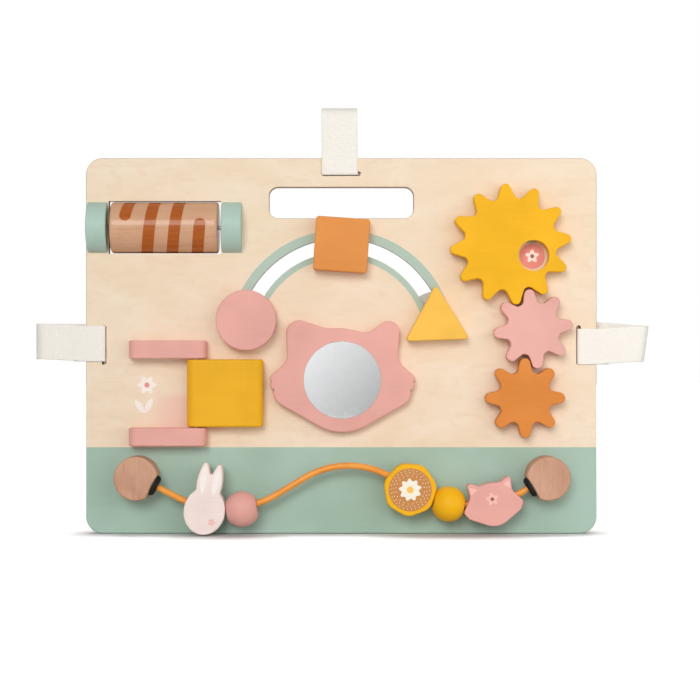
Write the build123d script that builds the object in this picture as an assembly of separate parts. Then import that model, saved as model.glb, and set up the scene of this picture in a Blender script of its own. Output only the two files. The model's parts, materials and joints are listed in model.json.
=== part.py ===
from build123d import *
import os
from math import cos, degrees, hypot, pi, radians, sin, sqrt

# Wooden busy board for the bars of a crib or playpen: a plywood board with a spinning
# roller, an arched slot with three sliding blocks, a hinged flap, a mirror, a train of
# three gears and a bead wire, hung by three webbing loops.
#
# Millimetres. Every piece is modelled as it lies on its back: X to the right, Y up the
# board, Z out of the play side, with the origin in the middle of the board's back face.
# UPRIGHT then stands it up, so that the exported part has +Z up and faces -Y.

# ---------------------------------------------------------------- driving dimensions
# board
board_width = 400.0
board_height = 294.0
board_thickness = 10.0
board_corner = 13.0
board_edge_round = 1.2

# hand hold
handle_length = 113.0
handle_height = 24.3
handle_corner = 7.0
handle_y = 112.0
handle_edge_round = 1.0

# webbing loops
strap_width = 28.0
strap_thickness = 1.6
strap_lay_gap = 0.2
strap_slot_play = 1.5
strap_slot_width = 3.5
strap_top_inset = 12.3
strap_side_inset = 14.3
strap_side_y = 0.5
strap_reach = 40.0
strap_tail = 11.0
strap_bend = 1.2
strap_end_setback = 4.0
pad_length = 17.0
pad_width = 24.0
pad_thickness = 1.0
pad_setback = 6.0

# roller
roller_x = -138.2
roller_y = 92.6
roller_radius = 20.0
roller_length = 84.0
roller_end_round = 2.0
roller_end_gap = 2.0
roller_side_gap = 0.7
axle_radius = 1.5
axle_grip = 8.0
cap_radius = 20.4
cap_width = 15.6
cap_setback = 0.8
cap_edge_round = 1.2

# arched slot and its three sliding blocks
arch_y = 2.6
arch_radius = 76.0
arch_slot_width = 11.0
arch_slot_clearance = 0.3
arch_end_play = 0.3
slider_lift = 0.5
slider_thickness = 13.5
slider_edge_round = 1.2
slider_disc_thickness = 4.0
slider_screw_bite = 9.0
circle_angle = 166.9
circle_radius = 23.5
circle_disc_radius = 22.0
square_angle = 89.8
square_side = 42.0
square_tilt = -3.9
square_disc_radius = 20.0
triangle_angle = 12.3
triangle_side = 50.4
triangle_tilt = 1.8
triangle_disc_radius = 24.0
block_corner = 2.2

# flap, its two rails and its hinge pin
door_length = 59.6
door_height = 52.6
door_thickness = 14.0
door_end_round = 6.4
door_edge_round = 2.0
door_lift = 0.5
door_hinge_x = -113.2
door_y = -36.9
door_side_gap = 0.7
rail_length = 60.4
rail_width = 14.0
rail_thickness = 14.5
rail_overhang = 8.3
rail_end_round = 6.0
rail_edge_round = 1.0
rail_screw_spread = 30.0
rail_screw_shift = 4.0
hinge_pin_radius = 1.35
hinge_pin_grip = 10.0

# mirror
mirror_x = 0.8
mirror_y = -26.6
mirror_radius = 30.0
mirror_thickness = 2.5
mirror_recess = 3.5
mirror_seat_gap = 0.1
frame_width = 112.0
frame_height = 88.0
frame_thickness = 10.0
frame_edge_round = 1.5
frame_drop = 2.6
frame_notch_radius = 1.6
frame_notch_depth = 2.0
frame_notch_shares = (-0.009, -0.093)

# gears
gear_module = 6.75
large_teeth = 12
small_teeth = 8
large_addendum = 0.978 * gear_module
large_dedendum = 0.667 * gear_module
small_addendum = 0.578 * gear_module
tip_clearance = 0.06 * gear_module
large_centre_play = 0.67
large_tip_round = 0.556 * gear_module
small_tip_round = 0.622 * gear_module
large_flank_slope = 0.40
small_flank_slope = 0.22
tooth_valley_round = 0.53 * gear_module
gear_thickness = 12.0
gear_lift = 1.8
gear_edge_round = 1.0
large_gear_x = 131.6
large_gear_y = 78.9
large_gear_phase = 5.4
middle_gear_direction = -75.13
last_gear_direction = -96.77
last_gear_slack = -2.0
window_radius = 12.0
window_rim = 0.4
window_angle = -26.2
hub_radius = 5.0
hub_socket = 6.0
hub_collar_radius = 7.5
hub_collar_gap = 0.2
hub_end_play = 0.3
washer_radius = 10.0
washer_thickness = 3.0
gear_screw_bite = 4.0

# bead wire with its two end knobs
wire_radius = 2.5
wire_height = 15.5
wire_inset = 4.0
wire_rise = 1.6
wire_left_corner = (-87.7, -137.7)
wire_crest_corner = (2.8, -83.9)
wire_right_corner = (105.5, -134.5)
wire_trough_bend = 80.0
wire_crest_bend = 65.7
knob_spread = 318.8
knob_shift = 0.7
knob_y = -102.7
knob_radius = 17.0
knob_height = 22.0
knob_flat = 13.8
knob_edge_round = 1.5
grommet_radius = 8.2
grommet_height = 3.8
grommet_round = 2.6

# beads; the angles are measured along the wire's arc from its lowest point
bead_bore_radius = 5.0
bead_thickness = 15.0
bead_edge_round = 1.2
bead_clearance = 0.3
rabbit_angle = -10.5
rabbit_head_width = 32.0
rabbit_head_height = 36.6
rabbit_head_drop = 2.2
rabbit_ear_length = 39.0
rabbit_ear_width = 10.2
rabbit_ear_spread = 4.6
rabbit_ear_lean = 3.0
rabbit_ear_reach = 37.2
rabbit_ear_tip_round = 1.8
rabbit_ear_valley_round = 1.2
rabbit_neck_round = 3.5
pink_ball_angle = 9.6
pink_ball_radius = 13.8
pink_ball_length = 23.6
flower_along = 57.2
flower_radius = 21.6
flower_sides = 7
flower_corner = 11.0
flower_point_angle = -95.0
yellow_ball_angle = -12.9
yellow_ball_radius = 13.7
yellow_ball_length = 23.6
cat_angle = 11.4
cat_width = 45.6
cat_height = 35.3
cat_rise = 0.6

# fasteners and fits
shank_radius = 1.75
slider_shank_radius = 2.0
head_overhang = 1.9
screw_tip = 2.5
recess_length = 3.6
recess_width = 0.8
recess_depth = 1.0
board_screw_bite = 7.0
seat_fit = 0.02
running_fit = 0.06
journal_fit = 0.08

# ---------------------------------------------------------------- shared helpers
UPRIGHT = Plane.XZ.location
front = board_thickness


def slab(outline, base, height):
    """Extrude a flat outline from base towards the play side."""
    return Pos(0, 0, base) * extrude(outline, height)


def soften_front(solid, radius):
    """Round the rim of the face that looks out of the play side."""
    return fillet(solid.faces().sort_by(Axis.Z)[-1].outer_wire().edges(), radius)


def rod(x, y, base, height, radius):
    """A round bar that stands on the board's face."""
    return Pos(x, y, base) * Cylinder(radius, height, align=(Align.CENTER, Align.CENTER, Align.MIN))


def screw_body(x, y, head_z, length, radius, grow=0.0):
    """A countersunk screw driven from behind, or with grow the hole that takes it."""
    on_back = (Align.CENTER, Align.CENTER, Align.MIN)
    head_height = head_overhang
    body = Cone(radius + head_overhang + grow, radius + grow, head_height, align=on_back)
    body += Pos(0, 0, head_height) * Cylinder(
        radius + grow, length - head_height - screw_tip, align=on_back)
    body += Pos(0, 0, length - screw_tip) * Cone(
        radius + grow, radius / 3 + grow, screw_tip + grow, align=on_back)
    return Pos(x, y, head_z) * body


def screw(x, y, head_z, length, radius):
    """A countersunk screw with a cross recess in its head."""
    body = screw_body(x, y, head_z, length, radius)
    for turn in (0, 90):
        slot = Rot(0, 0, turn) * Box(recess_length, recess_width, 2 * recess_depth)
        body -= Pos(x, y, head_z) * slot
    return body


def polar(radius, angle):
    return (radius * cos(radians(angle)), radius * sin(radians(angle)))


def save(name, solid):
    solid.label = name
    export_step(UPRIGHT * solid, f"parts/{name}.step")


os.makedirs("parts", exist_ok=True)

# ---------------------------------------------------------------- derived places
half_width = board_width / 2
half_height = board_height / 2
board_screw_length = board_thickness + board_screw_bite

# roller window and caps
window_half_length = roller_length / 2 + roller_end_gap
window_half_height = roller_radius + roller_side_gap
roller_axis_z = board_thickness / 2
cap_centre_offset = window_half_length + cap_setback + cap_width / 2
cap_places = (("left", -cap_centre_offset), ("right", cap_centre_offset))
cap_screw_spread = cap_radius * 0.6
cap_screws = [(roller_x + offset, roller_y + side * cap_screw_spread)
              for _, offset in cap_places for side in (-1, 1)]

# flap rails: they carry the pin at both ends of the flap
rail_offset = door_height / 2 + door_side_gap + rail_width / 2
rail_x = door_hinge_x + rail_overhang - rail_length / 2
rail_screws = [(rail_x - rail_screw_shift + side * rail_screw_spread / 2, door_y + up * rail_offset)
               for up in (-1, 1) for side in (-1, 1)]
hinge_z = front + door_lift + door_thickness / 2
hinge_pin_length = door_height + 2 * (door_side_gap + hinge_pin_grip)

# mirror frame
frame_centre = (mirror_x, mirror_y + frame_drop)
frame_screws = [(mirror_x - frame_width * 0.33, mirror_y + frame_height * 0.37),
                (mirror_x + frame_width * 0.33, mirror_y + frame_height * 0.37),
                (mirror_x, mirror_y - mirror_radius - 5.2)]
frame_screw_length = board_thickness + frame_thickness * 0.6

# gear train: each gear meshes with the one before it
pitch_step = pi * gear_module
large_pitch = gear_module * large_teeth / 2
small_pitch = gear_module * small_teeth / 2
small_dedendum = large_addendum + tip_clearance - large_centre_play
middle_gear_at = Vector(large_gear_x, large_gear_y) + Vector(
    *polar(large_pitch + small_pitch + large_centre_play, middle_gear_direction))
last_gear_at = middle_gear_at + Vector(*polar(2 * small_pitch, last_gear_direction))


def meshing_phase(phase, teeth, pitch, direction, next_pitch):
    """The phase at which the next gear's tooth falls midway between two of this one's."""
    step = 360 / teeth
    ahead = (phase - direction) % step
    arc = radians(ahead) * pitch + pitch_step / 2
    return direction + 180 - degrees(arc / next_pitch)


middle_phase = meshing_phase(
    large_gear_phase, large_teeth, large_pitch, middle_gear_direction, small_pitch)
last_phase = last_gear_slack + meshing_phase(
    middle_phase, small_teeth, small_pitch, last_gear_direction, small_pitch)
window_offset = hub_collar_radius + window_rim + window_radius
gears = [
    ("large", Vector(large_gear_x, large_gear_y), large_teeth, large_gear_phase),
    ("middle", middle_gear_at, small_teeth, middle_phase),
    ("last", last_gear_at, small_teeth, last_phase),
]

# blocks on the arched slot, each with the disc that holds it from behind
sliders = [
    ("circle", circle_angle, circle_disc_radius),
    ("square", square_angle, square_disc_radius),
    ("triangle", triangle_angle, triangle_disc_radius),
]


def arch_point(angle):
    x, y = polar(arch_radius, angle)
    return Vector(x, arch_y + y)


# wire: straight runs that meet in three arcs, from one knob to the other
left_knob = Vector(knob_shift - knob_spread / 2, knob_y)
right_knob = Vector(knob_shift + knob_spread / 2, knob_y)
left_end = left_knob + Vector(0, wire_rise)
right_end = right_knob + Vector(0, wire_rise)
left_corner = Vector(*wire_left_corner)
crest_corner = Vector(*wire_crest_corner)
right_corner = Vector(*wire_right_corner)
left_heading = (left_corner - left_end).normalized()
right_heading = (right_corner - right_end).normalized()


def bend_centre(before, corner, after, radius):
    """The centre of the arc that rounds a corner of the wire."""
    arriving = (before - corner).normalized()
    leaving = (after - corner).normalized()
    inward = (arriving + leaving).normalized()
    half_angle = radians(arriving.get_angle(leaving)) / 2
    return corner + inward * (radius / sin(half_angle))


left_centre = bend_centre(left_end, left_corner, crest_corner, wire_trough_bend)
right_centre = bend_centre(crest_corner, right_corner, right_end, wire_trough_bend)

# ---------------------------------------------------------------- outlines


# Each corner of a head, in turn, as shares of the half width and the height, with the
# radius that rounds it as a share of the height.
frame_corners = [
    (0.000, 0.430, 0.30),
    (0.360, 0.385, 0.10),
    (0.821, 0.594, 0.098),
    (0.768, 0.130, 0.14),
    (1.035, -0.010, 0.08),
    (0.925, -0.225, 0.12),
    (0.000, -0.558, 0.43),
    (-0.925, -0.225, 0.12),
    (-1.035, -0.010, 0.08),
    (-0.768, 0.130, 0.14),
    (-0.789, 0.545, 0.117),
    (-0.214, 0.424, 0.17),
]
cat_right_half = [
    (0.000, 0.414, 0.34),
    (0.360, 0.374, 0.11),
    (0.770, 0.521, 0.068),
    (0.716, 0.170, 0.14),
    (1.041, -0.125, 0.085),
    (0.889, -0.292, 0.14),
    (0.000, -0.609, 0.45),
]
cat_corners = cat_right_half + [(-x, y, radius) for x, y, radius in reversed(cat_right_half[1:-1])]


def cat_head(corners, width, height):
    """A plain head with two pointed ears."""
    points = [(x * width / 2, y * height) for x, y, _ in corners]
    head = make_face(Polyline(*points, close=True))
    for (x, y), (_, _, radius) in zip(points, corners):
        corner = [v for v in head.vertices() if hypot(v.X - x, v.Y - y) < height * 0.001]
        head = fillet(corner, radius * height)
    return head


def gear_outline(teeth, tip, root, tip_round, slope):
    """A gear with sloping flanks, full round tips and round valleys, a tooth along +X."""
    spread = hypot(1, slope)
    crown = tip - tip_round
    base = root * 0.8
    base_half = tip_round * spread + slope * (crown - base)
    touch = (crown + tip_round * slope / spread, tip_round / spread)
    below = (touch[0], -touch[1])
    tooth = make_face([
        Line((base, -base_half), below),
        ThreePointArc(below, (tip, 0), touch),
        Line(touch, (base, base_half)),
        Line((base, base_half), (base, -base_half)),
    ])
    blank = Circle(root)
    for index in range(teeth):
        blank += Rot(0, 0, index * 360 / teeth) * tooth
    valleys = [v for v in blank.vertices() if abs(hypot(v.X, v.Y) - root) < 0.05]
    return fillet(valleys, tooth_valley_round)


def leaf(length, width):
    """A leaf with a point at each end, where two equal arcs cross."""
    bow = (length ** 2 + width ** 2) / (4 * width)
    offset = bow - width / 2
    return Pos(offset, 0) * Circle(bow) & Pos(-offset, 0) * Circle(bow)


def rabbit_head():
    """An upright oval head with two upright ears; the bore lies on the local X axis."""
    head = Pos(0, -rabbit_head_drop) * Ellipse(rabbit_head_width / 2, rabbit_head_height / 2)
    ear_middle = rabbit_ear_reach - rabbit_ear_length / 2
    for side in (-1, 1):
        ear_at = Pos(side * rabbit_ear_spread, ear_middle) * Rot(0, 0, -side * rabbit_ear_lean)
        head += ear_at * leaf(rabbit_ear_length, rabbit_ear_width)
    head_top = rabbit_head_height / 2 - rabbit_head_drop
    tips = [v for v in head.vertices() if v.Y > ear_middle + rabbit_ear_length * 0.4]
    head = fillet(tips, rabbit_ear_tip_round)
    valley = [v for v in head.vertices() if abs(v.X) < 0.01 and v.Y > head_top]
    head = fillet(valley, rabbit_ear_valley_round)
    necks = [v for v in head.vertices() if 0 < v.Y < head_top]
    return fillet(necks, rabbit_neck_round)


# ---------------------------------------------------------------- board
outline = RectangleRounded(board_width, board_height, board_corner)
board = slab(outline, 0, board_thickness)
rims = board.faces().filter_by(Axis.Z).edges()
board = fillet(rims, board_edge_round)

hand_hold = slab(RectangleRounded(handle_length, handle_height, handle_corner),
                 0, board_thickness)
board -= Pos(0, handle_y) * hand_hold
grip_edges = board.edges().filter_by_position(
    Axis.Y, handle_y - handle_height, handle_y + handle_height).filter_by(
    lambda edge: abs(edge.center().X) < handle_length / 2 + 1
    and abs(edge.center().Y - handle_y) < handle_height / 2 + 1
    and min(abs(edge.center().Z), abs(edge.center().Z - board_thickness)) < 0.01)
board = fillet(grip_edges, handle_edge_round)

# strap slots, each as (name, outward direction, middle line, board edge, inset)
straps = [
    ("top", Vector(0, 1, 0), Vector(0, 0, 0), half_height, strap_top_inset),
    ("left", Vector(-1, 0, 0), Vector(0, strap_side_y, 0), half_width, strap_side_inset),
    ("right", Vector(1, 0, 0), Vector(0, strap_side_y, 0), half_width, strap_side_inset),
]
slot_length = strap_width + 2 * strap_slot_play
for name, outward, middle, edge, inset in straps:
    slot_frame = Plane(middle + outward * (edge - inset), x_dir=outward, z_dir=(0, 0, 1))
    slot = slot_frame * RectangleRounded(strap_slot_width, slot_length, strap_slot_width * 0.45)
    board -= slab(slot, 0, board_thickness)

# window for the roller, with a groove at each end that takes the axle
window = Rectangle(2 * window_half_length, 2 * window_half_height)
board -= Pos(roller_x, roller_y) * slab(window, 0, board_thickness)
groove_radius = axle_radius + running_fit
groove_length = 2 * (window_half_length + axle_grip)
groove = Rot(0, 90, 0) * Cylinder(groove_radius, groove_length)
groove += Pos(0, 0, board_thickness / 2) * Box(groove_length, 2 * groove_radius, board_thickness)
board -= Pos(roller_x, roller_y, roller_axis_z) * groove

# arched slot
arch = CenterArc((0, arch_y), arch_radius, triangle_angle, circle_angle - triangle_angle)
board -= slab(SlotArc(arch, arch_slot_width), 0, board_thickness)

# bearing holes for the gears
for name, at, teeth, phase in gears:
    board -= rod(at.X, at.Y, 0, board_thickness, hub_radius + journal_fit)

# countersunk holes for the screws from behind
knob_screw_length = board_thickness + knob_height * 0.5
fixed_screws = {
    "roller_cap_screws": (cap_screws, board_screw_length),
    "rail_screws": (rail_screws, board_screw_length),
    "mirror_frame_screws": (frame_screws, frame_screw_length),
    "knob_screws": ([(left_knob.X, knob_y), (right_knob.X, knob_y)], knob_screw_length),
}
for places, length in fixed_screws.values():
    for x, y in places:
        board -= screw_body(x, y, 0, length, shank_radius, seat_fit)
save("board", board)

for name, (places, length) in fixed_screws.items():
    save(name, Compound([screw(x, y, 0, length, shank_radius) for x, y in places]))


def drilled(solid, places, length):
    """The solid with a pilot hole for each screw that bites into it."""
    for x, y in places:
        solid -= screw_body(x, y, 0, length, shank_radius, seat_fit)
    return solid


# ---------------------------------------------------------------- roller
along_x = Rot(0, 90, 0)
roller_at = Pos(roller_x, roller_y, roller_axis_z)
drum = along_x * Cylinder(roller_radius, roller_length)
drum = fillet(drum.edges().filter_by(GeomType.CIRCLE), roller_end_round)
drum -= along_x * Cylinder(axle_radius + running_fit, roller_length)
save("roller_drum", roller_at * drum)

axle_length = groove_length - 2 * running_fit
save("roller_axle", roller_at * (along_x * Cylinder(axle_radius, axle_length)))

tongue_base = axle_radius + running_fit
tongue_length = axle_grip - cap_setback - running_fit
for name, offset in cap_places:
    arc_bar = along_x * Cylinder(cap_radius, cap_width)
    above_board = Pos(0, 0, front - roller_axis_z) * Box(
        cap_width, 2 * cap_radius, cap_radius, align=(Align.CENTER, Align.CENTER, Align.MIN))
    cap = arc_bar & above_board
    cap = fillet(cap.faces().filter_by(Axis.X).edges().filter_by(GeomType.CIRCLE), cap_edge_round)
    inner = -1 if offset > 0 else 1
    tongue = Pos(inner * (cap_width - tongue_length) / 2, 0, tongue_base) * Box(
        tongue_length, 2 * axle_radius, front - roller_axis_z - tongue_base + 1,
        align=(Align.CENTER, Align.CENTER, Align.MIN))
    cap = Pos(roller_x + offset, roller_y, roller_axis_z) * (cap + tongue)
    own = [place for place in cap_screws if abs(place[0] - roller_x - offset) < cap_width]
    save(f"roller_cap_{name}", drilled(cap, own, board_screw_length))

# ---------------------------------------------------------------- blocks on the arched slot
block_outlines = {
    "circle": Circle(circle_radius),
    "square": Rot(0, 0, square_tilt) * RectangleRounded(square_side, square_side, block_corner),
    "triangle": fillet(RegularPolygon(
        triangle_side / sqrt(3), 3, rotation=90 + triangle_tilt).vertices(), block_corner),
}
bush_radius = arch_slot_width / 2 - arch_slot_clearance
bush_length = board_thickness + 2 * arch_end_play
block_base = front + slider_lift
slider_head_z = -slider_lift - slider_disc_thickness
slider_screw_length = block_base + slider_screw_bite - slider_head_z
for name, angle, disc_radius in sliders:
    at = arch_point(angle)
    hole = screw_body(at.X, at.Y, slider_head_z, slider_screw_length, slider_shank_radius, seat_fit)
    block = Pos(at.X, at.Y) * slab(block_outlines[name], block_base, slider_thickness)
    save(f"{name}_block", soften_front(block, slider_edge_round) - hole)
    bush = rod(at.X, at.Y, -arch_end_play, bush_length, bush_radius)
    bush -= rod(at.X, at.Y, -arch_end_play, bush_length, slider_shank_radius + running_fit)
    save(f"{name}_bush", bush)
    disc = rod(at.X, at.Y, slider_head_z, slider_disc_thickness, disc_radius)
    save(f"{name}_disc", disc - hole)
    save(f"{name}_screw", screw(at.X, at.Y, slider_head_z, slider_screw_length, slider_shank_radius))

# ---------------------------------------------------------------- flap
upright_pin = Rot(90, 0, 0)
pin_at = Pos(door_hinge_x, door_y, hinge_z)
save("door_hinge_pin", pin_at * (upright_pin * Cylinder(hinge_pin_radius, hinge_pin_length)))

door = Box(door_length, door_height, door_thickness)
door = fillet(door.edges().filter_by(Axis.Y), door_end_round)
door = fillet(door.faces().filter_by(Axis.Y).edges(), door_edge_round)
door = Pos(door_length / 2 - door_thickness / 2) * door
door -= upright_pin * Cylinder(hinge_pin_radius + journal_fit, door_height)
save("door_panel", pin_at * door)

pin_hole = pin_at * (upright_pin * Cylinder(hinge_pin_radius + seat_fit, hinge_pin_length + seat_fit))
for name, up in (("upper", 1), ("lower", -1)):
    rail_y = door_y + up * rail_offset
    rail = Pos(rail_x, rail_y) * slab(Rectangle(rail_length, rail_width), front, rail_thickness)
    rail = fillet(rail.edges().filter_by(Axis.Y).group_by(Axis.Z)[-1], rail_end_round)
    rims = rail.faces().filter_by(Axis.Y).edges().filter_by(lambda edge: edge.center().Z > front + 1)
    rail = fillet(rims, rail_edge_round) - pin_hole
    own = [place for place in rail_screws if abs(place[1] - rail_y) < rail_width]
    save(f"door_rail_{name}", drilled(rail, own, board_screw_length))

# ---------------------------------------------------------------- mirror
head = cat_head(frame_corners, frame_width, frame_height)
frame = Pos(*frame_centre) * slab(head, front, frame_thickness)
frame = soften_front(frame, frame_edge_round)
for share in frame_notch_shares:
    y = mirror_y + share * frame_height
    across = (frame & Pos(mirror_x, y, front) * Box(2 * frame_width, 0.01, 0.01)).bounding_box()
    for side, x in ((-1, across.min.X), (1, across.max.X)):
        notch_x = x - side * (frame_notch_depth - frame_notch_radius)
        frame -= rod(notch_x, y, front, frame_thickness, frame_notch_radius)
recess_base = front + frame_thickness - mirror_recess
frame -= rod(mirror_x, mirror_y, recess_base, mirror_recess, mirror_radius + mirror_seat_gap)
save("mirror_frame", drilled(frame, frame_screws, frame_screw_length))
save("mirror_disc", rod(mirror_x, mirror_y, recess_base, mirror_thickness, mirror_radius))

# ---------------------------------------------------------------- gears
gear_base = front + gear_lift
gear_sizes = {
    large_teeth: (large_pitch + large_addendum, large_pitch - large_dedendum,
                  large_tip_round, large_flank_slope),
    small_teeth: (small_pitch + small_addendum, small_pitch - small_dedendum,
                  small_tip_round, small_flank_slope),
}
washer_head_z = -hub_end_play - washer_thickness
gear_screw_length = front + gear_screw_bite - washer_head_z
for name, at, teeth, phase in gears:
    blank = gear_outline(teeth, *gear_sizes[teeth])
    gear = soften_front(slab(blank, gear_base, gear_thickness), gear_edge_round)
    gear = Pos(at.X, at.Y) * Rot(0, 0, phase) * gear
    gear -= rod(at.X, at.Y, gear_base, hub_socket + seat_fit, hub_radius + seat_fit)
    if name == "large":
        window_x, window_y = polar(window_offset, window_angle)
        gear -= rod(at.X + window_x, at.Y + window_y, gear_base, gear_thickness, window_radius)
    save(f"{name}_gear", gear)
    hole = screw_body(at.X, at.Y, washer_head_z, gear_screw_length, shank_radius, seat_fit)
    hub = rod(at.X, at.Y, -hub_end_play, gear_base + hub_socket + hub_end_play, hub_radius)
    hub += rod(at.X, at.Y, front + hub_collar_gap, gear_lift - hub_collar_gap, hub_collar_radius)
    save(f"{name}_gear_hub", hub - hole)
    washer = rod(at.X, at.Y, washer_head_z, washer_thickness, washer_radius)
    save(f"{name}_gear_washer", washer - hole)
    save(f"{name}_gear_screw", screw(at.X, at.Y, washer_head_z, gear_screw_length, shank_radius))

# ---------------------------------------------------------------- bead wire
wire_points = [
    left_end + left_heading * wire_inset,
    left_corner,
    crest_corner,
    right_corner,
    right_end + right_heading * wire_inset,
]
wire_z = front + wire_height
route = FilletPolyline(
    *[(point.X, point.Y, wire_z) for point in wire_points],
    radius=[wire_trough_bend, wire_crest_bend, wire_trough_bend])
section = Plane(origin=route @ 0, z_dir=route % 0) * Circle(wire_radius)
save("bead_wire", sweep(section, path=route))

knob_sides = (("left", left_knob, left_heading), ("right", right_knob, right_heading))
from_base = (Align.CENTER, Align.CENTER, Align.MIN)
for name, at, heading in knob_sides:
    turn = Plane(origin=(at.X, at.Y, 0), x_dir=(heading.X, heading.Y, 0), z_dir=(0, 0, 1))
    knob = Circle(knob_radius) & Pos(knob_flat - knob_radius) * Rectangle(
        2 * knob_radius, 2 * knob_radius)
    knob = soften_front(slab(knob, front, knob_height), knob_edge_round)
    wire_along, wire_aside = wire_rise * heading.Y, wire_rise * heading.X
    socket = Cylinder(wire_radius + seat_fit, 2 * knob_radius, align=from_base)
    socket = Pos(wire_along + wire_inset - seat_fit, wire_aside, wire_z) * along_x * socket
    knob = turn.location * (knob - socket)
    save(f"wire_knob_{name}", drilled(knob, [(at.X, at.Y)], knob_screw_length))
    grommet = Cylinder(grommet_radius, grommet_height, align=from_base)
    grommet = fillet(grommet.faces().sort_by(Axis.Z)[-1].edges(), grommet_round)
    grommet -= Cylinder(wire_radius + seat_fit, 4 * grommet_height)
    grommet = Pos(knob_flat, wire_aside, wire_z) * along_x * grommet
    save(f"wire_grommet_{name}", turn.location * grommet)

# ---------------------------------------------------------------- beads
bore_play = bead_bore_radius - wire_radius


def hang(half_length):
    """How far a bead's bore lies below the wire where a straight bore rides an arc."""
    return bore_play - half_length ** 2 / (2 * wire_trough_bend) - bead_clearance


def on_trough(centre, angle, half_length):
    """The frame of a bead on a trough: X along the wire, Z out of the board."""
    radius = wire_trough_bend + hang(half_length)
    x, y = polar(radius, angle - 90)
    along = Vector(cos(radians(angle)), sin(radians(angle)), 0)
    return Plane(Vector(centre.X + x, centre.Y + y, wire_z), x_dir=along, z_dir=(0, 0, 1))


def flat_bead(outline):
    """A bead cut from flat stock, drilled along the local X axis."""
    bead = Pos(0, 0, -bead_thickness / 2) * extrude(outline, bead_thickness)
    for end in (0, -1):
        rim = bead.faces().sort_by(Axis.Z)[end].outer_wire().edges()
        bead = fillet(rim, bead_edge_round)
    return bead - along_x * Cylinder(bead_bore_radius, 4 * flower_radius)


def ball_bead(radius, length):
    """A ball with a flat at each end of its bore."""
    ball = Sphere(radius) & Box(length, 2 * radius, 2 * radius)
    return ball - along_x * Cylinder(bead_bore_radius, length)


rabbit_frame = on_trough(left_centre, rabbit_angle, rabbit_head_width / 2)
save("rabbit_bead", rabbit_frame.location * flat_bead(rabbit_head()))
pink_frame = on_trough(left_centre, pink_ball_angle, pink_ball_length / 2)
save("pink_ball_bead", pink_frame.location * ball_bead(pink_ball_radius, pink_ball_length))

downhill = (right_corner - crest_corner).normalized()
sideways = Vector(downhill.Y, -downhill.X)
flower_at = crest_corner + downhill * flower_along + sideways * (bore_play - 1.5 * bead_clearance)
flower_frame = Plane(Vector(flower_at.X, flower_at.Y, wire_z),
                     x_dir=(downhill.X, downhill.Y, 0), z_dir=(0, 0, 1))
slope = Vector(1, 0).get_angle(downhill)
flower = RegularPolygon(flower_radius, flower_sides, rotation=flower_point_angle + slope)
flower = fillet(flower.vertices(), flower_corner)
save("flower_bead", flower_frame.location * flat_bead(flower))

yellow_frame = on_trough(right_centre, yellow_ball_angle, yellow_ball_length / 2)
save("yellow_ball_bead", yellow_frame.location * ball_bead(yellow_ball_radius, yellow_ball_length))
cat_frame = on_trough(right_centre, cat_angle, cat_width / 2)
cat = Pos(0, cat_rise) * cat_head(cat_corners, cat_width, cat_height)
save("cat_bead", cat_frame.location * flat_bead(cat))

# ---------------------------------------------------------------- webbing loops
lay = strap_lay_gap + strap_thickness / 2
back_layer = strap_lay_gap + strap_thickness * 1.5 + 2 * pad_thickness
fold_bend = (front + lay + back_layer) / 2 - 0.1
pad_top = -strap_lay_gap - strap_thickness
for name, outward, middle, edge, inset in straps:
    slot_u = edge - inset
    fold_u = edge + strap_reach
    loop = FilletPolyline(
        (edge + strap_tail, -lay),
        (slot_u, -lay),
        (slot_u, front + lay),
        (fold_u - strap_thickness / 2, front + lay),
        (fold_u - strap_thickness / 2, -back_layer),
        (slot_u + strap_end_setback, -back_layer),
        radius=[strap_bend, strap_bend, fold_bend, fold_bend])
    cut = Plane(origin=loop @ 0, x_dir=(0, 0, 1), z_dir=loop % 0) * Rectangle(
        strap_width, strap_thickness)
    webbing = sweep(cut, path=loop)
    side_on = Plane(middle, x_dir=outward, z_dir=outward.cross(Vector(0, 0, 1)))
    save(f"strap_{name}", side_on.location * webbing)
    pad_u = slot_u + pad_setback + pad_length / 2
    for pad, base in (("loop", pad_top), ("hook", pad_top - pad_thickness)):
        patch = Pos(pad_u, base - pad_thickness / 2) * Box(pad_length, pad_thickness, pad_width)
        save(f"strap_{name}_{pad}_pad", side_on.location * patch)

# ---------------------------------------------------------------- places of the joints
for label, at in (("left trough", left_centre), ("right trough", right_centre),
                  ("flower", flower_at), ("middle gear", middle_gear_at),
                  ("last gear", last_gear_at), ("yellow ball", yellow_frame.origin)):
    print(f"{label}: x {at.X:.4f}, y {at.Y:.4f}")
print(f"downhill: {downhill.X:.6f}, {downhill.Y:.6f}")
print(f"wire radii: {wire_trough_bend}, {wire_crest_bend}, {wire_trough_bend}")
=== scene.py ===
import json
from math import atan2, cos, pi, radians, sin, tan

import bpy
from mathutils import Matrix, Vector, noise


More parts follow.
